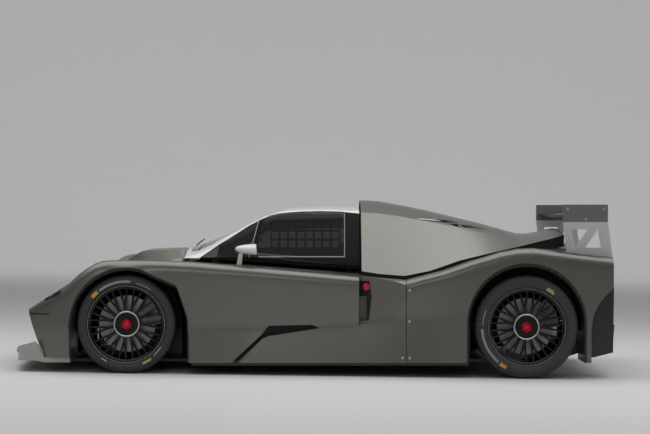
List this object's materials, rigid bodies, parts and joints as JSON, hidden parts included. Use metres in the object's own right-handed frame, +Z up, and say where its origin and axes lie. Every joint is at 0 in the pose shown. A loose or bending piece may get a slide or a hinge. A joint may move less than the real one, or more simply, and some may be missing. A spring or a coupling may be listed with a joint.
{
  "type": "gt race car",
  "caption": "Closed mid-engined GT race car with a tilting canopy, hollow cabin, steerable front wheels, centre-lock rims, full-width rear wing and finned diffuser.",
  "frame": {"origin": "on the ground below the middle of the overall box", "axes": "+X from nose to tail, +Y to the car's right, +Z up"},
  "size_m": [3.7495, 1.8994, 1.074],
  "materials": {
    "carbon": "satin clear coat over carbon weave",
    "white_paint": "pearl gloss",
    "black": "satin",
    "glass": "dark tint, gloss",
    "lens": "gloss",
    "red_lens": "gloss",
    "tyre": "slick, matt",
    "rim": "black gloss",
    "disc": "turned",
    "suspension": "machined",
    "steel": "satin powder coat",
    "engine": "cast",
    "fabric": "matt",
    "grip": "matt"
  },
  "bodies": {
    "chassis": {"canopy_hinges": "steel", "dashboard": "black", "diffuser": "carbon", "driver_seat": "fabric", "engine_block": "engine", "engine_cover": "carbon", "flat_floor": "carbon", "front_fender_left": "carbon", "front_fender_right": "carbon", "front_grille": "black", "front_splitter": "carbon", "front_wishbones": "suspension", "headlamps": "lens", "mirrors": "white_paint", "nose_panel": "carbon", "pillar_feet": "white_paint", "rear_bulkhead": "black", "rear_fender_left": "carbon", "rear_fender_right": "carbon", "rear_upright_left": "suspension", "rear_upright_right": "suspension", "rear_wing": "carbon", "rear_wishbones": "suspension", "roll_cage": "steel", "seal_rails": "black", "side_panel_left": "carbon", "side_panel_right": "carbon", "steering_wheel": "grip", "tail_lamps": "red_lens", "tail_panel": "carbon", "tub": "carbon", "window_net": "fabric", "wing_endplates": "black", "wing_stands": "carbon"},
    "canopy": {"canopy_frame": "black", "canopy_roof": "white_paint", "side_glass": "glass", "windscreen": "glass"},
    "knuckle_left": {"front_upright_left": "suspension"},
    "knuckle_right": {"front_upright_right": "suspension"},
    "wheel_front_left": {"front_tyre_left": "tyre", "front_rim_left": "rim", "front_brake_disc_left": "disc"},
    "wheel_front_right": {"front_tyre_right": "tyre", "front_rim_right": "rim", "front_brake_disc_right": "disc"},
    "wheel_rear_left": {"rear_tyre_left": "tyre", "rear_rim_left": "rim", "rear_brake_disc_left": "disc"},
    "wheel_rear_right": {"rear_tyre_right": "tyre", "rear_rim_right": "rim", "rear_brake_disc_right": "disc"}
  },
  "joints": [
    {"name": "canopy_tilt", "type": "hinge", "parent": "chassis", "child": "canopy", "pos_m": [-0.85449, 0, 0.70343], "axis": [0, -1, 0], "range_deg": [0, 50]},
    {"name": "steer_left", "type": "hinge", "parent": "chassis", "child": "knuckle_left", "pos_m": [-1.135, -0.7775, 0.298], "axis": [0, 0, 1], "range_deg": [-20, 20]},
    {"name": "steer_right", "type": "hinge", "parent": "chassis", "child": "knuckle_right", "pos_m": [-1.135, 0.7775, 0.298], "axis": [0, 0, 1], "range_deg": [-20, 20]},
    {"name": "spin_front_left", "type": "hinge", "parent": "knuckle_left", "child": "wheel_front_left", "pos_m": [-1.135, -0.8275, 0.298], "axis": [0, 1, 0], "continuous": true},
    {"name": "spin_front_right", "type": "hinge", "parent": "knuckle_right", "child": "wheel_front_right", "pos_m": [-1.135, 0.8275, 0.298], "axis": [0, 1, 0], "continuous": true},
    {"name": "spin_rear_left", "type": "hinge", "parent": "chassis", "child": "wheel_rear_left", "pos_m": [1.295, -0.801, 0.313], "axis": [0, 1, 0], "continuous": true},
    {"name": "spin_rear_right", "type": "hinge", "parent": "chassis", "child": "wheel_rear_right", "pos_m": [1.295, 0.801, 0.313], "axis": [0, 1, 0], "continuous": true}
  ],
  "couplings": [
    {"joint": "steer_right", "follows": "steer_left", "ratio": 1}
  ]
}
